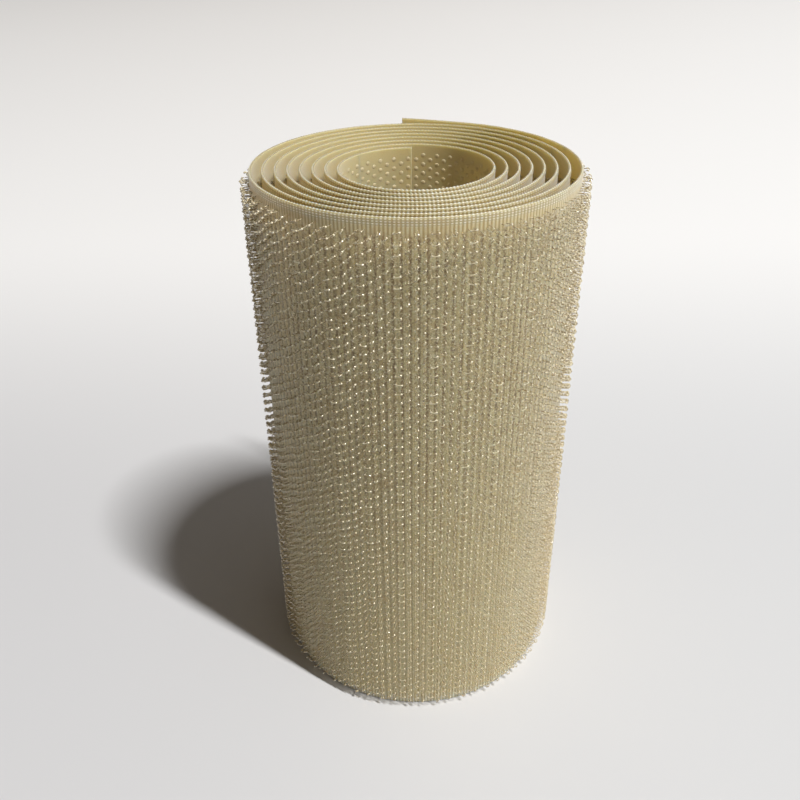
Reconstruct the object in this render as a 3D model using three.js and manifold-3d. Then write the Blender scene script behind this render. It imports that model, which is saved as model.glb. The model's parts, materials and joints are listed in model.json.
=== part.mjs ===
// A roll of hook tape: woven nylon tape with stiff little hooks on its outer face, wound on itself
// with no core and stood on its edge.
// Millimetres, +Z up. The tape runs outwards anticlockwise seen from above, from its inner end in the
// bore to its outer end, and both ends lie at the back, +Y. The origin is the middle of the base.

import * as THREE from "three";
import { mergeVertices } from "three/addons/utils/BufferGeometryUtils.js";
import Module from "manifold-3d";

const wasm = await Module();
wasm.setup();

const { degToRad } = THREE.MathUtils;
const fullCircle = 2 * Math.PI;

// The tape
const tapeWidth = 100;
const tapeLength = 1000;
const groundThickness = 0.4;
const selvedgeWidth = 2.5;

// The winding: how it lies, and where its two ends stop
const wholeTurns = 8;
const turnPitch = 2.06;
const boreShift = 2.7;
const innerEndAngle = degToRad(90);
const outerEndAngle = degToRad(92.7);
const outerEndLift = 2;
const outerEndLiftLength = 12;

// The two free ends, which lift off the turns beside them
const outerEndArc = degToRad(70);
const innerEndArc = degToRad(40);
const foldGap = 0.3;

// The hooks: a thin slice of backing lies over the ground, and strands stand from it
const hookHeight = 1.75;
const strandThickness = 0.5;
const strandReach = 1.3;
const strandCrownShare = 0.25;
const strandTipShare = 0.45;
const strandLean = degToRad(25);
const strandColumnPitch = 5.41;
const strandRowPitch = 8.8;
const rowStaggerShare = 0.25;
const backingThickness = 0.2;
const seatGap = 0.3;
const panelGap = 0.3;
const foldSetback = 1.6;

// How finely the round shapes are cut
const stepsPerTurn = 32;
const panelStepsPerTurn = 64;
const strandSides = 3;
const slopeShare = 1e-4;

// Worked out from the above: each half turn adds as much as its twin across the mean turn loses
const turns = wholeTurns + (outerEndAngle - innerEndAngle) / fullCircle;
const meanRadius = tapeLength / (fullCircle * turns);
const innerRadius = meanRadius - (turnPitch * turns) / 2;
const outerRadius = meanRadius + (turnPitch * turns) / 2;
const outerFold = turns - outerEndArc / fullCircle;
const innerFold = innerEndArc / fullCircle;
const outerFace = groundThickness / 2;
const backingFoot = outerFace + seatGap;
const backingTop = backingFoot + backingThickness;

// The tape's middle at a turn, counted from the inner end. The turns are packed tighter at the front,
// because the bore's centre lies in front of the outside's.
function centreline(turn) {
  const angle = innerEndAngle + turn * fullCircle;
  const fromOuterEnd = (turns - turn) * fullCircle * outerRadius;
  const liftShare = Math.max(0, 1 - fromOuterEnd / outerEndLiftLength);
  const radius = innerRadius + turn * turnPitch + outerEndLift * liftShare ** 2;
  const shift = boreShift * (1 - turn / turns);
  return new THREE.Vector2(radius * Math.cos(angle), radius * Math.sin(angle) - shift);
}

// The directions along the tape and outwards from it at a turn.
function directions(turn) {
  const along = centreline(turn + slopeShare).sub(centreline(turn - slopeShare)).normalize();
  return { along, out: new THREE.Vector2(along.y, -along.x) };
}

// A point in plan, at a turn and a distance outside the tape's middle.
function place(turn, offset) {
  return centreline(turn).addScaledVector(directions(turn).out, offset);
}

// A length along the tape at a turn, as a share of that turn.
function asTurns(length, turn) {
  return length / (fullCircle * centreline(turn).length());
}

// The turns at which a strip has its sections: both of its ends, and even steps between them.
function sections(from, to, perTurn) {
  const first = Math.floor(from * perTurn) + 1;
  const last = Math.ceil(to * perTurn) - 1;
  const between = Array.from({ length: last - first + 1 }, (_, i) => (first + i) / perTurn);
  return [from, ...between, to];
}

// A closed skin over rings of points, each ring running anticlockwise about the way that the rings
// follow one another. It ends in a flat cap or, where a tip is given, in that point.
function skin(rings, tip) {
  const sides = rings[0].length;
  const faces = [];
  for (let i = 0; i + 1 < rings.length; i++) {
    for (let k = 0; k < sides; k++) {
      const a = i * sides + k;
      const b = i * sides + ((k + 1) % sides);
      faces.push(a, b, b + sides, a, b + sides, a + sides);
    }
  }
  const last = (rings.length - 1) * sides;
  for (let k = 1; k + 1 < sides; k++) {
    faces.push(0, k + 1, k);
    if (!tip) faces.push(last, last + k, last + k + 1);
  }
  if (tip) {
    for (let k = 0; k < sides; k++) faces.push(last + k, last + ((k + 1) % sides), last + sides);
  }
  const points = tip ? [...rings.flat(), tip] : rings.flat();
  return new THREE.BufferGeometry().setFromPoints(points).setIndex(faces);
}

// A strip that follows the winding, between two turns, two offsets from its middle and two heights.
function strip({ from, to, perTurn, inside, outside, bottom, top }) {
  const rings = sections(from, to, perTurn).map((turn) => {
    const inner = place(turn, inside);
    const outer = place(turn, outside);
    return [
      new THREE.Vector3(inner.x, inner.y, bottom),
      new THREE.Vector3(inner.x, inner.y, top),
      new THREE.Vector3(outer.x, outer.y, top),
      new THREE.Vector3(outer.x, outer.y, bottom),
    ];
  });
  return skin(rings);
}

// One hook: a strand that rises from the middle of its backing to a crown and comes down to a point.
// Its reach runs across the tape and leans along it, to one side or the other.
function strand(turn, height, side) {
  const { along, out } = directions(turn);
  const root = backingFoot + backingThickness / 2;
  const foot = place(turn, root);
  const radius = strandThickness / 2;
  const rise = outerFace + hookHeight - radius - root;
  const outward = new THREE.Vector3(out.x, out.y, 0);
  const reachWay = new THREE.Vector3(along.x, along.y, 0)
    .multiplyScalar(Math.sin(strandLean) * side)
    .addScaledVector(new THREE.Vector3(0, 0, 1), Math.cos(strandLean) * side);
  const across = new THREE.Vector3().crossVectors(reachWay, outward);
  const at = (reach, up) =>
    new THREE.Vector3(foot.x, foot.y, height).addScaledVector(reachWay, reach).addScaledVector(outward, up);
  const tip = at(strandReach, rise * strandTipShare);
  const path = [at(0, 0), at(strandReach * strandCrownShare, rise), tip];
  const rings = path.slice(0, -1).map((point, i) => {
    const heading = new THREE.Vector3().subVectors(path[i + 1], path[Math.max(i - 1, 0)]).normalize();
    const level = new THREE.Vector3().crossVectors(across, heading);
    return Array.from({ length: strandSides }, (_, k) => {
      const angle = (fullCircle * k) / strandSides;
      return point
        .clone()
        .addScaledVector(level, radius * Math.cos(angle))
        .addScaledVector(across, radius * Math.sin(angle));
    });
  });
  return skin(rings, tip);
}

function solid(geometry) {
  const merged = mergeVertices(geometry);
  return new wasm.Manifold(
    new wasm.Mesh({
      numProp: 3,
      vertProperties: merged.attributes.position.array,
      triVerts: new Uint32Array(merged.index.array),
    }),
  );
}

function geometryOf(manifold) {
  const { vertProperties, triVerts } = manifold.getMesh();
  return new THREE.BufferGeometry()
    .setAttribute("position", new THREE.BufferAttribute(vertProperties, 3))
    .setIndex(new THREE.BufferAttribute(triVerts, 1));
}

// A panel of hooks between two turns: a slice of backing with its rows and columns of strands.
function hookPanel(from, to) {
  const backing = {
    from,
    to,
    perTurn: panelStepsPerTurn,
    inside: backingFoot,
    outside: backingTop,
    bottom: selvedgeWidth,
    top: tapeWidth - selvedgeWidth,
  };
  const length = (to - from) * fullCircle * centreline(from).length();
  const columns = Math.max(1, Math.round(length / strandColumnPitch));
  const fieldHeight = tapeWidth - 2 * selvedgeWidth;
  const rows = Math.max(1, Math.round(fieldHeight / strandRowPitch));
  let panel = solid(strip(backing));
  for (let column = 0; column < columns; column++) {
    const turn = from + ((to - from) * (column + 0.5)) / columns;
    const side = column % 2 ? 1 : -1;
    for (let row = 0; row < rows; row++) {
      const rowShare = (row + 0.5 - side * rowStaggerShare) / rows;
      panel = panel.add(solid(strand(turn, selvedgeWidth + fieldHeight * rowShare, side)));
    }
  }
  return geometryOf(panel);
}

// The ground: the woven tape itself, without its hooks.
function ground(from, to, perTurn) {
  return strip({
    from,
    to,
    perTurn,
    inside: -outerFace,
    outside: outerFace,
    bottom: 0,
    top: tapeWidth,
  });
}

const weave = { color: 0xbcae88, roughness: 0.75, metalness: 0 };
const hookNylon = { color: 0xddd2b0, roughness: 0.4, metalness: 0 };

function piece(name, geometry, finish) {
  const mesh = new THREE.Mesh(geometry, new THREE.MeshStandardMaterial(finish));
  mesh.name = name;
  return mesh;
}

const roll = new THREE.Group();

// The ground in three pieces: the winding and its two free ends, with a gap at each fold.
const innerHalfGap = asTurns(foldGap / 2, innerFold);
const outerHalfGap = asTurns(foldGap / 2, outerFold);
roll.add(
  piece("tape_winding", ground(innerFold + innerHalfGap, outerFold - outerHalfGap, stepsPerTurn), weave),
  piece("tape_inner_end", ground(0, innerFold - innerHalfGap, stepsPerTurn), weave),
  piece("tape_outer_end", ground(outerFold + outerHalfGap, turns, panelStepsPerTurn), weave),
);

// The hooks on the outermost turn: three panels side by side, then one on the outer end.
const exposedFrom = turns - 1 + asTurns(foldSetback, turns - 1);
const exposedTo = outerFold - asTurns(foldSetback, outerFold);
const fixedPanels = ["hooks_left", "hooks_front", "hooks_right"];
const panelTurns = (exposedTo - exposedFrom) / fixedPanels.length;
const halfPanelGap = asTurns(panelGap / 2, outerFold);
fixedPanels.forEach((name, i) => {
  const from = exposedFrom + i * panelTurns + halfPanelGap;
  const to = exposedFrom + (i + 1) * panelTurns - halfPanelGap;
  roll.add(piece(name, hookPanel(from, to), hookNylon));
});
const outerEndFrom = outerFold + asTurns(foldSetback, outerFold);
const outerEndTo = turns - asTurns(foldSetback, turns);
roll.add(piece("hooks_outer_end", hookPanel(outerEndFrom, outerEndTo), hookNylon));

// The base's middle goes to the origin.
const extent = new THREE.Box3().setFromObject(roll);
const middle = extent.getCenter(new THREE.Vector3());
roll.position.set(-middle.x, -middle.y, 0);

// The least gap from the winding's outer face to the turns outside it, between points on both faces:
// each section's corner, and the middle of each flat between two sections.
function leastGap() {
  const stations = sections(innerFold, turns, stepsPerTurn);
  const faceAt = (offset) =>
    stations.slice(1).flatMap((turn, i) => {
      const before = place(stations[i], offset);
      const corner = place(turn, offset);
      return [
        { turn, point: corner },
        { turn: (stations[i] + turn) / 2, point: before.add(corner).divideScalar(2) },
      ];
    });
  const insides = faceAt(-outerFace);
  let least = Infinity;
  for (const outside of faceAt(outerFace)) {
    for (const inside of insides) {
      if (inside.turn < outside.turn + 0.5) continue;
      least = Math.min(least, outside.point.distanceTo(inside.point));
    }
  }
  return least;
}

function shown(point) {
  return [point.x - middle.x, point.y - middle.y].map((value) => value.toFixed(3)).join(", ");
}

console.log("least gap between turns", leastGap().toFixed(3));
console.log("outer fold line at", shown(place(outerFold, outerFace)));
console.log("inner fold line at", shown(place(innerFold, -outerFace)));
console.log("bore centre at", shown(new THREE.Vector2(0, -boreShift)), "inner radius", innerRadius.toFixed(3));
console.log("winding centre at", shown(new THREE.Vector2(0, 0)), "outer radius", outerRadius.toFixed(3));

export default roll;
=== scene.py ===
# %% [markdown]
# # A roll of hook tape
# The object is one strip of woven nylon, 100 mm wide and a metre long, wound eight turns round an open bore
# and stood on its edge. Its outer face carries thousands of small nylon hooks and its back is coated smooth.
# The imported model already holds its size, its winding and the hinges of its two loose ends. It is loaded
# first, and the looks are built around it in the same metres, so that nothing has to be fitted afterwards.

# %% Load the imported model
import json
import math

import bpy
import numpy as np
from mathutils import Matrix, Vector


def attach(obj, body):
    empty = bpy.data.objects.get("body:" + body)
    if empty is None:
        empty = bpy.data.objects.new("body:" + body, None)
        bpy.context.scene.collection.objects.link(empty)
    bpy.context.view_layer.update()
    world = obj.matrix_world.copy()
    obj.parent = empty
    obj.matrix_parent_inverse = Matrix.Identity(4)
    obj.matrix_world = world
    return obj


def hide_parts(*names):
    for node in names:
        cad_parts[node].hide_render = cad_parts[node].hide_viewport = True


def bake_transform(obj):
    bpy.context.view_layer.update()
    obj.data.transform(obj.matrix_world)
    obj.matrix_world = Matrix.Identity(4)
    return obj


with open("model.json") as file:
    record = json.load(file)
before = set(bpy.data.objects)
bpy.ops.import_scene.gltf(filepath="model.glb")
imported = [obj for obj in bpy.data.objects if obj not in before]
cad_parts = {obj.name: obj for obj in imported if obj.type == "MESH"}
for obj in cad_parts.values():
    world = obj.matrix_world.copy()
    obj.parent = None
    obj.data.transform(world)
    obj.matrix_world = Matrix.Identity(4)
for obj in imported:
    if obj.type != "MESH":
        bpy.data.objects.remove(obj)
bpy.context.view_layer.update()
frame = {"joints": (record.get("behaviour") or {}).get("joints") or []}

# %% [markdown]
# ## The camera
# The photograph was taken from above the front of the roll, close enough for strong perspective: the bottom
# looks much narrower than the top. A camera could be placed by eye. Here its place and angle are written as
# measured values.

# %% Place the camera
mm = 0.001
full_circle = 2 * math.pi
photo_side_px = 800
focal_length_px = 847.67
sensor_width_mm = 36.0
camera_place = Vector((-3.1, -140.66, 139.39)) * mm
camera_look_down = math.radians(31.47)
camera_roll = math.radians(-0.69)
nearest_seen = 10 * mm

lens = bpy.data.cameras.new("photo_camera")
lens.sensor_width = sensor_width_mm
lens.lens = focal_length_px / photo_side_px * sensor_width_mm
lens.clip_start = nearest_seen
camera = bpy.data.objects.new("photo_camera", lens)
bpy.context.scene.collection.objects.link(camera)
camera.matrix_world = (
    Matrix.Translation(camera_place)
    @ Matrix.Rotation(math.pi / 2 - camera_look_down, 4, "X")
    @ Matrix.Rotation(camera_roll, 4, "Z")
)
bpy.context.scene.camera = camera
print("lens in mm:", round(lens.lens, 2))

# %% [markdown]
# ## Writing a material as sums
# A procedural material is a small sum: a wave for each rib of the weave, times a mask for where the ribs are.
# The node editor shows such a sum as dozens of boxes. In Python it can be written as a sum instead, if the
# output of a node knows what to do when it is added or multiplied. The class below is that output, and the
# one after it is the material that the nodes go into.

# %% A socket that can be added and multiplied
class Signal:
    """An output of a node. Adding or multiplying it adds a Math node."""

    def __init__(self, finish, socket):
        self.finish = finish
        self.socket = socket

    def math(self, operation, first, second=0.0):
        return self.finish.node("ShaderNodeMath", {"operation": operation}, {0: first, 1: second})

    def __add__(self, other):
        return self.math("ADD", self, other)

    __radd__ = __add__

    def __sub__(self, other):
        return self.math("SUBTRACT", self, other)

    def __rsub__(self, other):
        return self.math("SUBTRACT", other, self)

    def __mul__(self, other):
        return self.math("MULTIPLY", self, other)

    __rmul__ = __mul__

    def wave(self, pitch):
        """1 on every multiple of pitch and 0 halfway between them."""
        return 0.5 + 0.5 * self.math("COSINE", self * (full_circle / pitch))

    def step(self, low, high):
        """0 below low, 1 above high and a smooth rise between. It falls where low is above high."""
        settings = {"interpolation_type": "SMOOTHSTEP"}
        limits = {"Value": self, "From Min": low, "From Max": high}
        return self.finish.node("ShaderNodeMapRange", settings, limits)


# %% A node tree that nodes are added to
# The Mix node has several sockets of the same name, so its sockets are found by number.
mix_factor = 0
mix_first = 6
mix_second = 7
mix_result = 2


class Finish:
    """The nodes of a material or a world: its shader, and one method that adds any other node."""

    def __init__(self, owner, shader="Principled BSDF"):
        owner.use_nodes = True
        self.owner = owner
        self.tree = owner.node_tree
        self.shader = self.tree.nodes[shader]

    def node(self, kind, settings=None, inputs=None, output=0):
        """Adds a node, sets its settings, then its sockets, and gives back one of its outputs."""
        made = self.tree.nodes.new(kind)
        for setting, value in (settings or {}).items():
            setattr(made, setting, value)
        for key, value in (inputs or {}).items():
            self.feed(made.inputs[key], value)
        return Signal(self, made.outputs[output])

    def feed(self, socket, value):
        if isinstance(value, Signal):
            self.tree.links.new(value.socket, socket)
        else:
            socket.default_value = value

    def mix(self, factor, first, second):
        """A colour between first and second."""
        inputs = {mix_factor: factor, mix_first: first, mix_second: second}
        return self.node("ShaderNodeMix", {"data_type": "RGBA"}, inputs, mix_result)

    def parts(self, vector):
        """The three numbers of a vector."""
        split = self.node("ShaderNodeSeparateXYZ", None, {"Vector": vector}).socket.node
        return [Signal(self, split.outputs[axis]) for axis in "XYZ"]

    def noise(self, places, scale, detail):
        """Cloudy values round 0.5."""
        inputs = {"Vector": places, "Scale": scale, "Detail": detail}
        return self.node("ShaderNodeTexNoise", None, inputs)

    def bump(self, height, strength, distance, before=None):
        """Turns the surface by the slope of height, on top of an earlier bump."""
        inputs = {"Height": height, "Strength": strength, "Distance": distance}
        if before is not None:
            inputs["Normal"] = before
        return self.node("ShaderNodeBump", None, inputs)

    def wear(self, **values):
        """Sets the shader's sockets, by their names with _ for a space."""
        for name, value in values.items():
            self.feed(self.shader.inputs[name.replace("_", " ")], value)


def linear(share):
    """The amount of light for a share of a screen's range. The numbers are those of the sRGB standard."""
    if share < 0.04045:
        return share / 12.92
    return ((share + 0.055) / 1.055) ** 2.4


def colour(red, green, blue):
    """A colour as a screen shows it, from 0 to 255, turned into the linear values that light needs."""
    return [linear(value / 255) for value in (red, green, blue)] + [1.0]


print("a mid grey is", [round(share, 3) for share in colour(128, 128, 128)])

# %% [markdown]
# ## Floor and light
# The roll stands in a pale light tent. One lamp, high on the right and a little in front, throws the shadow
# to the left and draws the small glints on the hooks, and the tent's walls fill the shadow. An area lamp is
# used, because its size sets how soft a shadow's edge is. The shadow is sharp along its side and soft at its
# far end, so the lamp is a strip: narrow, and tall. The floor's colour is painted paler to the right and away
# from the camera, as painted light. In every finish, a smooth step starts at the first number of its pair
# and ends at the second.

# %% Pour the floor and paint its light
floor_radius = 3.0
floor_sides = 96
# The floor's tones are painted light: a little darker on the left, paler on the right and white far away.
floor_painted_dim_left = colour(211, 211, 213)
floor_painted_lit_right = colour(218, 219, 221)
floor_painted_far_light = colour(255, 255, 255)
left_to_right = (-0.15, 0.12)
near_to_far = (0.02, 0.24)
far_painted_light_strength = 0.85
cloud_share = 0.08

floor_finish = Finish(bpy.data.materials.new("pale_floor"))
floor_places = floor_finish.node("ShaderNodeTexCoord", output="Object")
floor_right, floor_back = floor_finish.parts(floor_places)[:2]
floor_cloud = floor_finish.noise(floor_places, scale=3.0, detail=2.0)
cloudiness = 1 - cloud_share / 2 + cloud_share * floor_cloud
near_floor_painted_light = floor_finish.mix(floor_right.step(*left_to_right), floor_painted_dim_left, floor_painted_lit_right)
far_painted_light_share = far_painted_light_strength * floor_back.step(*near_to_far) * cloudiness
floor_tone = floor_finish.mix(far_painted_light_share, near_floor_painted_light, floor_painted_far_light)
floor_finish.wear(Base_Color=floor_tone, Roughness=0.4, Specular_IOR_Level=0.5)

turn_round = np.linspace(0, full_circle, floor_sides, endpoint=False)
floor_rim = np.stack([np.cos(turn_round), np.sin(turn_round), 0 * turn_round], axis=1) * floor_radius
floor_mesh = bpy.data.meshes.new("floor")
floor_mesh.from_pydata(floor_rim.tolist(), [], [list(range(floor_sides))])
floor_mesh.materials.append(floor_finish.owner)
floor = bpy.data.objects.new("floor", floor_mesh)
bpy.context.scene.collection.objects.link(floor)
print("floor radius in m:", floor_radius)

# %% Hang the lamp
lamp_azimuth = math.radians(-36)
lamp_height_angle = math.radians(62.5)
lamp_distance = 6.0
lamp_width = 0.24
lamp_height = 1.4
lamp_power = 388.0
lamp_tint = (1.0, 0.995, 0.985)
roll_middle = Vector((0, 0, 50 * mm))

to_the_right = math.cos(lamp_azimuth) * math.cos(lamp_height_angle)
to_the_back = math.sin(lamp_azimuth) * math.cos(lamp_height_angle)
lamp_way = Vector((to_the_right, to_the_back, math.sin(lamp_height_angle)))
lamp_light = bpy.data.lights.new("key_lamp", "AREA")
lamp_light.shape = "RECTANGLE"
lamp_light.size = lamp_width
lamp_light.size_y = lamp_height
lamp_light.energy = lamp_power
lamp_light.color = lamp_tint
lamp = bpy.data.objects.new("key_lamp", lamp_light)
lamp.location = roll_middle + lamp_way * lamp_distance
lamp.rotation_euler = lamp_way.to_track_quat("Z", "Y").to_euler()
bpy.context.scene.collection.objects.link(lamp)
print("lamp in m:", [round(side, 2) for side in lamp.location])

# %% [markdown]
# ## The light tent
# The tent could be built as four white sheets, but nothing of it is seen, only its light. So it is the world
# behind everything, with a brightness for each direction. Its right wall is the brightest, and a little
# blue. The left one is dim and warm, as the colour of the photograph's shadow shows. Above the walls it
# fades to a faint roof.

# %% Stretch the light tent
wall_light = 0.3
right_light = 0.6
back_light = 0.17
least_wall_light = 0.04
roof_light = 0.065
left_tint = (1.0, 0.83, 0.65, 1.0)
tint_sides = (-0.3, 0.9)
right_tint = (0.97, 0.985, 1.0, 1.0)
wall_top = math.sin(math.radians(12))
roof_edge = math.sin(math.radians(42))

tent = Finish(bpy.data.worlds.new("light_tent"), "Background")
tent_way = tent.node("ShaderNodeTexCoord")
tent_right, tent_back, tent_up = tent.parts(tent_way)
walls = wall_light + right_light * tent_right + back_light * tent_back
walls = walls.math("MAXIMUM", walls, least_wall_light)
roof_share = tent_up.step(wall_top, roof_edge)
tint = tent.mix(tent_right.step(*tint_sides), left_tint, right_tint)
tent.wear(Color=tint, Strength=walls * (1 - roof_share) + roof_light)
bpy.context.scene.world = tent.owner
bpy.context.scene.view_settings.view_transform = "Standard"
print("nodes in the tent:", len(tent.tree.nodes))

# %% [markdown]
# ## The winding
# On the real object a winder turns the tape's inner end and the rest follows it, turn on turn, hooks
# outwards. Seen from above the tape is a spiral that gains one pitch each turn. Its bore also sits nearer
# the front than the middle of its outside, so each turn is shifted forward by a share of that. One formula
# gives the place of the tape's middle line at any turn. Everything on the tape is then placed by it, at
# lengths along the tape.

# %% The tape's sizes
tape_width = 100 * mm
tape_length = 1000 * mm
ground_thickness = 0.4 * mm
whole_turns = 8
turn_pitch = 2.06 * mm
bore_shift = 2.7 * mm
inner_end_angle = math.radians(90)
outer_end_angle = math.radians(92.7)
outer_end_lift = 2 * mm
outer_end_lift_length = 12 * mm
outer_end_arc = math.radians(70)
inner_end_arc = math.radians(40)

turns = whole_turns + (outer_end_angle - inner_end_angle) / full_circle
mean_radius = tape_length / (full_circle * turns)
inner_radius = mean_radius - turn_pitch * turns / 2
outer_radius = mean_radius + turn_pitch * turns / 2
outer_fold = turns - outer_end_arc / full_circle
inner_fold = inner_end_arc / full_circle
outer_face = ground_thickness / 2
print("turns:", round(turns, 4), "radii in mm:", round(inner_radius / mm, 3), round(outer_radius / mm, 3))

# %% The middle line and its directions
winding_place = np.zeros(2)
turn_nudge = 1e-5


def middle_line(turn):
    """Places on the tape's middle line, seen from above, at these turns counted from the inner end."""
    angle = inner_end_angle + turn * full_circle
    from_outer_end = (turns - turn) * full_circle * outer_radius
    lift_share = np.maximum(0, 1 - from_outer_end / outer_end_lift_length)
    radius = inner_radius + turn * turn_pitch + outer_end_lift * lift_share**2
    shift = bore_shift * (1 - turn / turns)
    place = np.stack([radius * np.cos(angle), radius * np.sin(angle) - shift], axis=-1)
    return place + winding_place


def directions(turn):
    """Two directions at these turns: along the tape, and out of its hooked face."""
    along = middle_line(turn + turn_nudge) - middle_line(turn - turn_nudge)
    along = along / np.linalg.norm(along, axis=-1, keepdims=True)
    out = np.stack([along[..., 1], -along[..., 0]], axis=-1)
    return along, out


joints = {joint["name"]: joint for joint in frame["joints"]}
fold_place = np.array(joints["outer_end_peel"]["pos_m"][:2])
fold_turn = np.array(outer_fold)
winding_place = fold_place - (middle_line(fold_turn) + directions(fold_turn)[1] * outer_face)
print("the winding's middle in mm:", np.round(winding_place / mm, 3))

# %% Lengths along the tape
line_points = 20001
turn_steps = np.linspace(0, turns, line_points)
step_lengths = np.linalg.norm(np.diff(middle_line(turn_steps), axis=0), axis=1)
lengths_there = np.concatenate([[0], np.cumsum(step_lengths)])


def turn_at(length):
    return np.interp(length, lengths_there, turn_steps)


def length_at(turn):
    return float(np.interp(turn, turn_steps, lengths_there))


wound_length = lengths_there[-1]
print("length wound in mm:", round(wound_length / mm, 2))

# %% [markdown]
# ## The woven ground's finish
# The ground is woven from fine nylon yarn. Its cross yarns show as ribs that run from edge to edge, a little
# over half a millimetre apart. In the edge bands the lengthwise yarns ride over the ribs and make rows of
# small dots. The crests in the edge bands and the rims of the outer side are painted pale, as painted
# highlights, and the valleys of the ribs and dots darker, as painted shade. Between the columns of hooks the
# cloth gets lines and clouds of painted shade, and bright specks of loose filament, and both fade towards the
# lower edge. The back is brushed with a clear coat that fills the weave, so it is smoother. Its rims are
# painted darker, as painted shade, because they catch more of the lamp's light than the back does. An image
# of cloth could be wrapped round the roll, but it would show seams. So the finish is worked out from three
# numbers stored at each point: the length along the tape, the height up its width and the side of the cloth.
# A weave placed by those follows the tape round every turn.

# %% Measure the weave
rib_pitch = 0.615 * mm
dot_pitch = 0.37 * mm
dotted_depth = 1.11 * mm
column_pitch = 1.28 * mm
row_pitch = 1.61 * mm
gap_shade_shift = 0.2 * mm
fade_mm = 0.5
outer_side = (0.2, 0.9)
back_side = (0.3, -0.4)
field_depths_mm = (2.2, 3.4)
rim_depths_mm = (0.22, 0.08)
high_to_low_mm = (75.0, 10.0)

woven = Finish(bpy.data.materials.new("woven_khaki_nylon"))
tape_places = woven.node("ShaderNodeAttribute", {"attribute_name": "tape"}, output="Vector")
along_mm, height_mm, side = woven.parts(tape_places)

from_top = tape_width / mm - height_mm
edge_depth = from_top.math("MINIMUM", from_top, height_mm)
outer_mask = side.step(*outer_side)
back_mask = side.step(*back_side)
edge_band = edge_depth.step(dotted_depth / mm + fade_mm, dotted_depth / mm)
field_mask = edge_depth.step(*field_depths_mm)
rim_mask = edge_depth.step(*rim_depths_mm)
low_share = height_mm.step(*high_to_low_mm)
rib = along_mm.wave(rib_pitch / mm)
dot = edge_depth.wave(dot_pitch / mm)
painted_gap_shade_wave = (along_mm + gap_shade_shift / mm).wave(column_pitch / mm)
slow_cloud = woven.noise(tape_places, scale=0.35, detail=3.0)
fine_cloud = woven.noise(tape_places, scale=5.0, detail=2.0)
bed_cloud = woven.noise(tape_places, scale=2.6, detail=2.0)
speck = woven.noise(tape_places, scale=3.4, detail=1.0)
filament = woven.noise(tape_places, scale=22.0, detail=1.0)
print("masks and clouds take", len(woven.tree.nodes), "nodes")

# %% Dye the edge bands and paint their highlights and shade
# Painted light: the pale crests of the edge bands and rims are painted highlights, and the valleys are
# painted shade. The plain yarn is the cloth's own colour.
band_crest_painted_highlight = colour(247, 241, 218)
band_valley_painted_shade = colour(188, 172, 128)
plain_yarn = colour(221, 206, 165)
plain_valley_painted_shade = colour(184, 163, 114)
rim_crest_painted_highlight = colour(244, 237, 212)
rim_valley_painted_shade = colour(188, 174, 134)
bead_slope = (0.05, 0.9)
rim_slope = (0.1, 0.8)
rim_strength = 0.9

bead = rib * (1 - edge_band * (1 - dot))
crest_with_painted_highlight = woven.mix(edge_band, plain_yarn, band_crest_painted_highlight)
valley_with_painted_shade = woven.mix(edge_band, plain_valley_painted_shade, band_valley_painted_shade)
beads_with_painted_light = woven.mix(bead.step(*bead_slope), valley_with_painted_shade, crest_with_painted_highlight)
rim_with_painted_light = woven.mix(rib.step(*rim_slope), rim_valley_painted_shade, rim_crest_painted_highlight)
yarn_with_painted_light = woven.mix(rim_mask * rim_strength, beads_with_painted_light, rim_with_painted_light)
print("rib pitch in mm:", round(rib_pitch / mm, 3))

# %% Dye the bed of the hooks and paint its shade
# Painted shade: the dark tone darkens the bed in clouds and in lines between the columns of hooks, less
# towards the lower edge; further down it also mottles the cloth at random.
painted_shade_and_mottle_tone = colour(114, 90, 50)
hook_bed = colour(221, 202, 153)
bright_speck = colour(250, 236, 198)
cloud_slope = (0.42, 0.68)
gap_shade_slope = (0.3, 1.0)
cloud_shade = 0.5
gap_shade_strength = 0.6
shade_fade = 0.6
speck_slope = (0.54, 0.62)
speck_strength = 0.6
speck_fade = 0.35
bed_strength = 0.8

bed_shade = bed_cloud.step(*cloud_slope) * cloud_shade + painted_gap_shade_wave.step(*gap_shade_slope) * gap_shade_strength
shaded_bed = woven.mix(bed_shade * (1 - low_share * shade_fade), hook_bed, painted_shade_and_mottle_tone)
speck_share = speck.step(*speck_slope) * (speck_strength - low_share * speck_fade)
bed_tone = woven.mix(speck_share, shaded_bed, bright_speck)
outer_tone = woven.mix(field_mask * bed_strength, yarn_with_painted_light, bed_tone)
print("column and row pitch in mm:", round(column_pitch / mm, 2), round(row_pitch / mm, 2))

# %% Coat the back, paint shade on its rims and age the whole
coat = colour(222, 204, 157)
# Painted shade: the back's rims are darker because they catch more of the lamp's light than the back does.
painted_shade_back_rim = colour(160, 147, 114)
dusty = colour(184, 159, 112)
dust_slope = (0.45, 0.75)
dust_strength = 0.35
coat_slope = (0.4, 0.7)
coat_strength = 0.4
shade_slope = (0.5, 0.9)
shade_strength = 0.3
bed_bump_height = 0.35 * mm
yarn_bump_height = 0.03 * mm
cloth_roughness = 0.55
band_gloss = 0.2
coat_gloss = 0.08
uneven_gloss = 0.2

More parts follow.
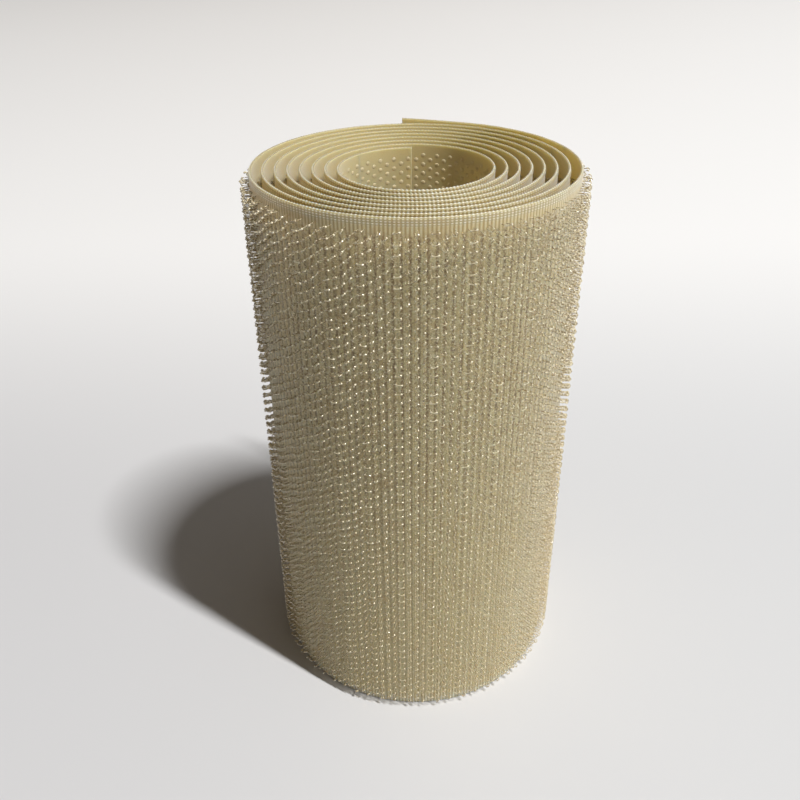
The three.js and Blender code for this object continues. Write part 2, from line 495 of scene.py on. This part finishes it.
dusted = woven.mix(slow_cloud.step(*dust_slope) * dust_strength, outer_tone, dusty)
open_back_tone = woven.mix(slow_cloud.step(*coat_slope) * coat_strength, coat, plain_yarn)
back_tone = woven.mix(rim_mask, open_back_tone, painted_shade_back_rim)
coated = woven.mix(back_mask, dusted, back_tone)
ground_tone = woven.mix(fine_cloud.step(*shade_slope) * shade_strength, coated, painted_shade_and_mottle_tone)
bed_relief = bed_cloud * field_mask * outer_mask
bed_bump = woven.bump(bed_relief, strength=0.8, distance=bed_bump_height)
yarn_bump = woven.bump(filament, strength=0.35, distance=yarn_bump_height, before=bed_bump)
roughness = cloth_roughness - edge_band * outer_mask * band_gloss - back_mask * coat_gloss
woven.wear(
    Base_Color=ground_tone,
    Roughness=roughness + (fine_cloud - 0.5) * uneven_gloss,
    Normal=yarn_bump,
    Sheen_Weight=0.5,
    Sheen_Roughness=0.4,
    Specular_IOR_Level=0.9,
    Subsurface_Weight=0.85,
    Subsurface_Radius=(1.0, 0.78, 0.5),
    Subsurface_Scale=2 * mm,
)
print("nodes in the woven finish:", len(woven.tree.nodes))

# %% [markdown]
# ## The knots' finish
# Where a hook's filament passes through the back it shows as a small round knot. The knots could wear the
# woven finish, but the light that spreads inside it turns small domes grey. Plain, glossy nylon keeps them
# crisp.

# %% Dye the knots on the back
knot_base = colour(210, 193, 148)
knot_top = colour(236, 222, 184)
knot_slope = (0.35, 0.65)

knot_finish = Finish(bpy.data.materials.new("coated_knot_nylon"))
knot_places = knot_finish.node("ShaderNodeAttribute", {"attribute_name": "tape"}, output="Vector")
knot_cloud = knot_finish.noise(knot_places, scale=2.0, detail=2.0)
knot_tone = knot_finish.mix(knot_cloud.step(*knot_slope), knot_base, knot_top)
knot_finish.wear(Base_Color=knot_tone, Roughness=0.3 + knot_cloud * 0.2, Specular_IOR_Level=0.6)
print("nodes in the knots' finish:", len(knot_finish.tree.nodes))

# %% [markdown]
# ## The hooks' finish
# Each hook is a clear nylon filament, 0.15 mm thick. Against the light it shows a bright core and grey
# outlines, and over the cloth it takes the cloth's colour. So it is part glass: light goes through it, bends
# and comes back. Its legs carry random patches of painted light and painted shade. The two shoulders of its
# crown are swollen and get a shader of their own: a near-white colour, which paints a pair of glints, under a
# real glossy coat. How much of it a point takes is a number stored there. Towards the lower edge the painted
# light and shade on the legs even out, as the painted shade on the cloth does.

# %% Draw the hook filament and paint its light, shade and glints
# Painted light and shade: the legs take random dark and pale patches, which even out towards the lower edge.
painted_shade_leg = colour(152, 130, 84)
painted_light_leg = colour(248, 236, 200)
low_leg = colour(214, 195, 150)
leg_slope = (0.44, 0.58)
low_strength = 0.65
# Painted glints: the shoulders are painted near white, under a real glossy coat.
dim_painted_glint = colour(255, 240, 198)
bright_painted_glint = colour(255, 249, 226)
painted_glint_slope = (0.3, 0.7)
full_shine = (0.0, 0.7)

hook_finish = Finish(bpy.data.materials.new("clear_hook_nylon"))
hook_places = hook_finish.node("ShaderNodeAttribute", {"attribute_name": "tape"}, output="Vector")
hook_shine = hook_finish.node("ShaderNodeAttribute", {"attribute_name": "shine"}, output="Fac")
hook_cloud = hook_finish.noise(hook_places, scale=3.2, detail=2.0)
low_hooks = hook_finish.parts(hook_places)[1].step(*high_to_low_mm)
painted_light_and_shade_patches = hook_finish.mix(hook_cloud.step(*leg_slope), painted_shade_leg, painted_light_leg)
leg_tone = hook_finish.mix(low_hooks * low_strength, painted_light_and_shade_patches, low_leg)
hook_finish.wear(
    Base_Color=leg_tone,
    Roughness=0.55 - hook_cloud * 0.3,
    IOR=1.53,
    Transmission_Weight=0.4,
    Specular_IOR_Level=0.4,
)
painted_glint_looks = {
    "Base Color": hook_finish.mix(hook_cloud.step(*painted_glint_slope), dim_painted_glint, bright_painted_glint),
    "Roughness": 0.3 - hook_cloud * 0.1,
    "Specular IOR Level": 0.8,
    "Coat Weight": 1.0,
    "Coat IOR": 2.1,
    "Coat Roughness": 0.15,
}
leg_shader = Signal(hook_finish, hook_finish.shader.outputs["BSDF"])
painted_glint_shader = hook_finish.node("ShaderNodeBsdfPrincipled", None, painted_glint_looks)
shaders = {0: hook_shine.step(*full_shine), 1: leg_shader, 2: painted_glint_shader}
hook_output = hook_finish.tree.nodes["Material Output"]
hook_finish.feed(hook_output.inputs["Surface"], hook_finish.node("ShaderNodeMixShader", None, shaders))
print("nodes in the hook finish:", len(hook_finish.tree.nodes))

# %% [markdown]
# ## The strip of ground
# A strip of cloth could be a flat plane with a Solidify modifier. But the camera looks straight at its rims,
# so the rims have to be real: rounded, and scalloped where the cross yarns turn back. The strip is therefore
# a closed loop of points, the tape's own cut section, carried along the spiral. Where the section passes over
# a rib the points of its outer face rise, and in the edge bands they rise and fall again over each dot.

# %% The section of the tape
edge_radius = ground_thickness / 2


def section(top_depths, bottom_depths, middle_heights, back_heights, edge_steps):
    """A loop round the tape's cut end: each point's height, distance from the middle line, and bulge,
    which is 1 at the very edge and 0 on both faces."""
    outer = [*bottom_depths, *middle_heights, *[tape_width - depth for depth in reversed(top_depths)]]
    points = [(height, edge_radius, 0.0) for height in outer]
    angles = [math.pi * (step + 1) / (edge_steps + 1) for step in range(edge_steps)]
    over_top = [(tape_width, edge_radius * math.cos(angle), math.sin(angle)) for angle in angles]
    points += over_top
    points += [(height, -edge_radius, 0.0) for height in reversed(back_heights)]
    points += [(0.0, -offset, bulge) for height, offset, bulge in over_top]
    return np.array(points)


def depths(first, last, step):
    """Depths below an edge, from first to last, a step apart."""
    return [first + step * index for index in range(round((last - first) / step) + 1)]


fine_step = dot_pitch / 4
coarse_step = 0.55 * mm
band_depth = 1.3 * mm
plain_start = 1.5 * mm
plain_end = 4.0 * mm
plain_step = 0.5 * mm
inner_fine_count = 9
inner_last_depth = 3 * mm
edge_steps = 5
below_rim = 0.35 * mm

fine_band = depths(edge_radius, band_depth, fine_step)
plain_band = depths(plain_start, plain_end, plain_step)
coarse_band = depths(edge_radius, band_depth, coarse_step)
middle_steps = [share * tape_width for share in (0.08, 0.2, 0.35, 0.5, 0.65, 0.8, 0.92)]
back_ends = (edge_radius, below_rim, tape_width - below_rim, tape_width - edge_radius)
seen_back = sorted([*back_ends, *middle_steps])
inner_back = sorted([*back_ends, tape_width / 2])
seen_band = fine_band + plain_band
inner_band = fine_band[:inner_fine_count] + [inner_last_depth]
seen_section = section(seen_band, seen_band, middle_steps, seen_back, edge_steps)
inner_section = section(inner_band, coarse_band, [tape_width / 2], inner_back, edge_steps)
print("points round the section:", len(seen_section), "and", len(inner_section))

# %% [markdown]
# ## From points to pieces
# Every part of the tape comes from the same few steps: points are worked out in one sum, joined into faces
# and given the numbers that the finishes read. The ribs could all be equal, but a loom doesn't press every
# cross yarn home with the same force. So each gets its height by chance, from a fixed seed.

# %% Build pieces from points
rib_relief = 0.055 * mm
bead_relief = 0.11 * mm
edge_scallop = 0.14 * mm
rim_pinch = 0.3
band_fade = 0.3 * mm
points_per_rib = 4
least_step_share = 0.01
flat_face_share = 0.99
seed = 7
chance = np.random.default_rng(seed)
rib_count = round(tape_length / rib_pitch) + 2
rib_strength = chance.uniform(0.75, 1.15, rib_count)


def new_piece(name, points, faces, tape_values, finish, shine=None):
    """A smooth mesh object whose points carry the numbers that the finishes read."""
    mesh = bpy.data.meshes.new(name)
    mesh.from_pydata(points.reshape(-1, 3).tolist(), [], faces)
    mesh.shade_smooth()
    values = mesh.attributes.new("tape", "FLOAT_VECTOR", "POINT")
    values.data.foreach_set("vector", tape_values.astype(np.float32).ravel())
    if shine is not None:
        shines = mesh.attributes.new("shine", "FLOAT", "POINT")
        shines.data.foreach_set("value", shine.astype(np.float32).ravel())
    mesh.materials.append(finish.owner)
    piece = bpy.data.objects.new(name, mesh)
    bpy.context.scene.collection.objects.link(piece)
    return piece


def grid_faces(rows, columns):
    """Four-sided faces between rows of points, each row closed on itself."""
    first = np.arange(rows - 1)[:, None] * columns + np.arange(columns)[None, :]
    second = np.arange(rows - 1)[:, None] * columns + (np.arange(columns) + 1)[None, :] % columns
    return np.stack([first, second, second + columns, first + columns], axis=-1).reshape(-1, 4)


def strip(name, start, end, loop):
    """The tape's ground from one length to another, closed at both cuts."""
    step = rib_pitch / points_per_rib
    first_step = math.ceil(start / step + least_step_share)
    last_step = math.floor(end / step - least_step_share)
    inside = np.arange(first_step, last_step + 1) * step
    lengths = np.concatenate([[start], inside, [end]])[:, None]
    turn = turn_at(lengths[:, 0])
    middle = middle_line(turn)
    out = directions(turn)[1]
    height, offset, bulge = loop[None, :, 0], loop[None, :, 1], loop[None, :, 2]
    depth = np.minimum(height, tape_width - height)
    strength = rib_strength[np.round(lengths / rib_pitch).astype(int)]
    rib_rise = (0.5 + 0.5 * np.cos(full_circle * lengths / rib_pitch)) * strength
    dotted = np.clip((dotted_depth + band_fade - depth) / band_fade, 0, 1)
    dot_fall = dotted * (0.5 - 0.5 * np.cos(full_circle * depth / dot_pitch))
    relief = rib_relief + (bead_relief - rib_relief) * dotted
    on_face = (offset > flat_face_share * edge_radius) & (bulge == 0)
    pinch = rim_pinch * (1 - rib_rise) * bulge
    distance = offset * (1 - pinch) + relief * rib_rise * (1 - dot_fall) * on_face
    inwards = edge_radius * (1 - bulge) * (bulge > 0) + edge_scallop * (1 - rib_rise) * bulge
    rise = np.where(height > tape_width / 2, height - inwards, height + inwards)
    places = middle[:, None, :] + out[:, None, :] * distance[..., None]
    points = np.concatenate([places, rise[..., None]], axis=-1)
    side = np.broadcast_to(offset / edge_radius, rise.shape)
    values = np.stack([np.broadcast_to(lengths, rise.shape), rise, side * mm], axis=-1) / mm
    rows, columns = rise.shape
    faces = grid_faces(rows, columns).tolist()
    faces.append(list(range(columns))[::-1])
    faces.append([(rows - 1) * columns + index for index in range(columns)])
    piece = new_piece(name, points, faces, values, woven)
    print(name, "is", round((end - start) / mm, 1), "mm long, with", 2 * rows * columns, "triangles")
    return piece


# %% [markdown]
# ## Winding the ground
# The real ground is one strip. Here it is cut where the model's bodies meet, because a piece rides on one
# body, and the parts meet face to face so that no cut shows. A bend has to start a little before the hinge
# and run some way past it, or the cloth would crease like paper.

# %% Where the parts of the strip meet
outer_fold_length = length_at(outer_fold)
inner_fold_length = length_at(inner_fold)
outer_bend_before = 3 * mm
outer_bend_after = 13 * mm
inner_bend_before = 2 * mm
inner_bend_after = 6.5 * mm
first_seen_turn = 6.8
middle_cut_turn = 4.7
outer_turn_start = length_at(first_seen_turn)
winding_middle = length_at(middle_cut_turn)
winding_start = inner_fold_length + inner_bend_before
outer_part_start = outer_fold_length - outer_bend_before


def place_at(length):
    """The place on the tape at a length from its inner end, halfway up its width."""
    return (*middle_line(turn_at(np.array(length))), tape_width / 2)


# %% Wind the strip
inner_turns = strip("tape_inner_turns", winding_start, winding_middle, inner_section)
middle_turns = strip("tape_middle_turns", winding_middle, outer_turn_start, inner_section)
outer_turn = strip("tape_outer_turn", outer_turn_start, outer_part_start, seen_section)
for part in (inner_turns, middle_turns, outer_turn):
    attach(part, "roll")
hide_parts("tape_winding")

inner_part = strip("tape_inner_part", 0.0, winding_start, inner_section)
outer_part = strip("tape_outer_part", outer_part_start, float(wound_length), seen_section)
outer_bend = (place_at(outer_part_start), place_at(outer_fold_length + outer_bend_after))
inner_bend = (place_at(winding_start), place_at(inner_fold_length - inner_bend_after))
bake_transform(outer_part)
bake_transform(inner_part)
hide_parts("tape_outer_end")
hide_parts("tape_inner_end")

# %% [markdown]
# ## One hook
# A hook starts as a loop of filament woven into the ground. The loop is cut on one side near its top, which
# leaves a tall leg that curls over and points back down, and a stump beside it. Both are drawn here as a path
# in one plane, with a ring of points carried along it, so one template can be copied thousands of times. The
# crown is a half round with its two shoulders pushed out and swollen.

# %% Shape the hook
filament_radius = 0.075 * mm
filament_sides = 5
hook_height = 1.75 * mm
crown_reach = 0.48 * mm
crown_rise = 0.4 * mm
crown_middle = (0.42 * mm, hook_height - filament_radius - crown_rise)
crown_angles = np.radians(np.linspace(180, -30, 9))
shoulder_rings = (1, 6)
shoulder_push = 0.08
shoulder_swell = 1.75
root_depth = 0.15 * mm
stump_reach = 0.9 * mm
stump_height = 0.95 * mm
stump_bend = 0.3 * mm
stump_lean = 0.06 * mm


def tube(path, radii, sides):
    """Rings of points round a path that lies in one plane: reach, rise and across for each point."""
    ahead = np.gradient(path, axis=0)
    ahead = ahead / np.linalg.norm(ahead, axis=1, keepdims=True)
    normal = np.stack([-ahead[:, 1], ahead[:, 0]], axis=1)
    angles = np.linspace(0, full_circle, sides, endpoint=False)
    outwards = radii[:, None] * np.cos(angles)
    in_plane = path[:, None, :] + outwards[..., None] * normal[:, None, :]
    across = radii[:, None] * np.sin(angles)
    points = np.concatenate([in_plane, across[..., None]], axis=-1).reshape(-1, 3)
    faces = [face[::-1] for face in grid_faces(len(path), sides).tolist()]
    faces.append(list(range(sides)))
    faces.append([(len(path) - 1) * sides + index for index in range(sides)][::-1])
    return points, faces


is_shoulder = np.isin(np.arange(len(crown_angles)), shoulder_rings)
crown_share = (1 + shoulder_push * is_shoulder)[:, None]
crown_round = np.stack([crown_reach * np.cos(crown_angles), crown_rise * np.sin(crown_angles)], axis=1)
crown = np.array(crown_middle) + crown_round * crown_share
leg = np.array([(0, -root_depth), (0.02 * mm, 0.2 * mm), (-0.03 * mm, 0.65 * mm)])
ring_shine = np.concatenate([np.zeros(len(leg)), is_shoulder])
ring_radii = filament_radius * (1 + shoulder_swell * ring_shine)
leg_points, leg_faces = tube(np.concatenate([leg, crown]), ring_radii, filament_sides)
stump = [(stump_reach, -root_depth), (stump_reach, stump_bend), (stump_reach + stump_lean, stump_height)]
stump_points, stump_faces = tube(np.array(stump), np.full(len(stump), filament_radius), filament_sides)
hook_points = np.concatenate([leg_points, stump_points])
hook_faces = leg_faces + [[index + len(leg_points) for index in face] for face in stump_faces]
hook_shines = np.repeat(np.concatenate([ring_shine, np.zeros(len(stump))]), filament_sides)
hook_triangles = sum(len(face) - 2 for face in hook_faces)
print("triangles in a hook:", hook_triangles)

# %% [markdown]
# ## Planting the hooks
# The hooks stand in columns across the tape. Neighbouring columns are shifted by half a row, two columns
# point up and the next two point down, and the two of a pair lean against each other. Every fourth column
# lies more across the tape and has the widest crowns and the brightest painted glints on its shoulders,
# which draw the bright dotted lines down the front of the roll. The painted glints are duller towards the
# lower edge, as in the photograph.
# Particles could scatter the hooks, but they wouldn't keep to rows and columns. A little chance in each
# hook's height, lean, twist and shine keeps the field from looking printed.

# %% The order of the hooks
column_count = int(tape_length / column_pitch)
row_count = 60
row_stagger = 0.4 * mm
pair_lean = math.radians(6)
directions_of_four = np.array([1, 1, -1, -1])
slants_of_four = np.radians([45, 34, 84, 56])
# How strongly the shoulders of each column of four take the painted glints.
shines_of_four = np.array([1.0, 0.6, 1.5, 0.7])
crown_widths_of_four = np.array([0.62, 0.55, 1.0, 0.6])
leans_of_four = np.array([1, -1, 1, -1]) * pair_lean
staggers_of_four = np.array([1, -1, 1, -1]) * row_stagger
height_chance = 0.05
lean_chance = math.radians(5)
twist_chance = math.radians(13)
shine_chance = 0.8
least_shine = 0.5
hook_clearance = 0.03 * mm
open_air = 1.0
luck_limit = 2


def room_above(turn):
    """How far the outer face is from the back of the turn that lies over it."""
    over = np.minimum(turn + 1, turns)
    gap = np.linalg.norm(middle_line(over) - middle_line(turn), axis=-1) - ground_thickness
    return np.where(turn + 1 <= turns, gap, open_air)


def plant_hooks(name, columns, rows):
    """The hooks of these columns and rows as one piece. A hook under another turn is pressed to its room."""
    column, row = [grid.ravel() for grid in np.meshgrid(columns, rows, indexing="ij")]
    length = (column + 0.5) * column_pitch
    turn = turn_at(length)
    order = column % 4
    count = len(column)
    luck = chance.normal(0, 1, (4, count)).clip(-luck_limit, luck_limit) / luck_limit
    tallest = np.minimum(1.0, (room_above(turn) - hook_clearance) / hook_height)
    tall = np.minimum(tallest, 1.0 + height_chance * (luck[0] - 1))
    lean = np.tan(leans_of_four[order] + lean_chance * luck[1]) * tallest
    twist = slants_of_four[order] + twist_chance * luck[2]
    # A hook's shine is how strongly its shoulders take the painted glints; lower rows get less.
    shine = np.clip(shines_of_four[order] * (1 + shine_chance * luck[3]), 0, 1)
    shine = shine * (least_shine + (1 - least_shine) * row / row_count)
    way = directions_of_four[order]
    height = tape_width / 2 + (row - (row_count - 1) / 2) * row_pitch + staggers_of_four[order]
    middle_reach = stump_reach / 2

    reach, rise, across = hook_points.T[:, None, :]
    reach = (reach - middle_reach) * crown_widths_of_four[order][:, None]
    rise = np.where(rise > 0, rise * tall[:, None], rise)
    across = across + np.maximum(rise, 0) * lean[:, None]
    turned_reach = reach * np.cos(twist)[:, None] - across * np.sin(twist)[:, None]
    turned_across = reach * np.sin(twist)[:, None] + across * np.cos(twist)[:, None]
    along, out = directions(turn)
    base = middle_line(turn) + out * outer_face
    spots = base[:, None, :] + out[:, None, :] * rise[..., None]
    spots = spots + along[:, None, :] * (turned_across * way[:, None])[..., None]
    heights = height[:, None] + way[:, None] * turned_reach
    points = np.concatenate([spots, heights[..., None]], axis=-1)
    values = np.stack([np.broadcast_to(length[:, None], rise.shape), heights, rise], axis=-1) / mm
    shifts = np.arange(count) * len(hook_points)
    faces = [[index + shift for index in face] for shift in shifts.tolist() for face in hook_faces]
    piece = new_piece(name, points, faces, values, hook_finish, shine[:, None] * hook_shines)
    print(name, "has", count, "hooks and", count * hook_triangles, "triangles")
    return piece


# %% [markdown]
# ## The field on the outermost turn
# All 60 rows show on the outermost turn. They are planted in upright panels, so that each piece stays a size
# that a mesh file can hold in full. They are planted in upright panels, and the panels past the outer fold
# make the hooks of the loose end.

# %% Plant the outermost turn
panel_columns = 20
all_rows = np.arange(row_count)
first_column = math.ceil(outer_turn_start / column_pitch)
bend_column = math.ceil(outer_part_start / column_pitch)
wound_columns = np.arange(first_column, bend_column)
loose_columns = np.arange(bend_column, column_count)
wound_panels = np.array_split(wound_columns, math.ceil(len(wound_columns) / panel_columns))
loose_panels = np.array_split(loose_columns, math.ceil(len(loose_columns) / panel_columns))

for index, columns in enumerate(wound_panels):
    panel = plant_hooks(f"hooks_panel_{index + 1}", columns, all_rows)
    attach(panel, "roll")
    if index == 0:
        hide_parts("hooks_left", "hooks_front", "hooks_right")
for index, columns in enumerate(loose_panels):
    panel = plant_hooks(f"hooks_outer_end_{index + 1}", columns, all_rows)
    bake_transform(panel)
    if index == 0:
        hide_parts("hooks_outer_end")

# %% [markdown]
# ## The hooks between the turns
# Every inner turn has its hooks too, pressed against the back of the turn outside it. Only the rows next to
# the two edges can be seen, by looking down into the gaps, so only those rows are planted. The first row of
# all is left out, because the gaps look clear as deep as it would stand.

# %% Plant the edges of the inner turns
seen_rows = 3
clear_rows = 1
bottom_rows = np.arange(clear_rows, clear_rows + seen_rows)
top_rows = row_count - 1 - bottom_rows
inner_first = math.ceil(winding_start / column_pitch)
inner_columns = np.arange(inner_first, first_column)
end_columns = np.arange(0, inner_first)
for edge, rows in (("top", top_rows), ("bottom", bottom_rows)):
    for index, columns in enumerate(np.array_split(inner_columns, 2)):
        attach(plant_hooks(f"hooks_{edge}_edge_{index + 1}", columns, rows), "roll")
inner_end_hooks = plant_hooks("hooks_inner_end", end_columns, all_rows)
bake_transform(inner_end_hooks)

# %% [markdown]
# ## The knots on the back
# Under each hook its filament passes through the ground and shows on the back as one low, round knot, soaked
# in the coat. Bump mapping could hint at them, but in the bore they stand out against the light, so they are
# low domes of their own. Only those on open faces are made: in the bore, and behind the outer end.

# %% Raise the knots
knot_sizes = (0.46 * mm, 0.42 * mm, 0.055 * mm)
knot_sides = 7
knot_rings = ((1.0, -0.2), (0.7, 0.7))
knot_angles = np.linspace(0, full_circle, knot_sides, endpoint=False)
knot_points = [(share * math.cos(angle), share * math.sin(angle), rise)
               for share, rise in knot_rings for angle in knot_angles]
knot_points = np.array([*knot_points, (0, 0, 1)]) * knot_sizes
knot_faces = [face[::-1] for face in grid_faces(len(knot_rings), knot_sides).tolist()]
knot_tip = len(knot_points) - 1
knot_last = knot_tip - knot_sides
for index in range(knot_sides):
    knot_faces.append([knot_last + (index + 1) % knot_sides, knot_last + index, knot_tip])
knot_faces.append(list(range(knot_sides)))
bore_turns = 1.1


def raise_knots(name, columns):
    """The knots behind the hooks of these columns, as one piece."""
    column, row = [grid.ravel() for grid in np.meshgrid(columns, all_rows, indexing="ij")]
    length = (column + 0.5) * column_pitch
    turn = turn_at(length)
    along, out = directions(turn)
    height = tape_width / 2 + (row - (row_count - 1) / 2) * row_pitch + staggers_of_four[column % 4]
    shift_along, shift_up, rise = knot_points.T[:, None, :]
    middle = middle_line(turn) - out * outer_face
    spots = middle[:, None, :] + along[:, None, :] * shift_along[..., None]
    spots = spots - out[:, None, :] * rise[..., None]
    heights = height[:, None] + shift_up
    points = np.concatenate([spots, heights[..., None]], axis=-1)
    values = np.stack([length[:, None] + shift_along, heights, 0 * heights], axis=-1) / mm
    shifts = np.arange(len(column)) * len(knot_points)
    faces = [[index + shift for index in face] for shift in shifts.tolist() for face in knot_faces]
    piece = new_piece(name, points, faces, values, knot_finish)
    print(name, "has", len(column), "knots")
    return piece


bore_columns = np.arange(inner_first, round(length_at(bore_turns) / column_pitch))
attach(raise_knots("knots_in_the_bore", bore_columns), "roll")
inner_knots = raise_knots("knots_inner_end", end_columns)
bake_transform(inner_knots)
outer_knots = raise_knots("knots_outer_end", loose_columns)
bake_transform(outer_knots)
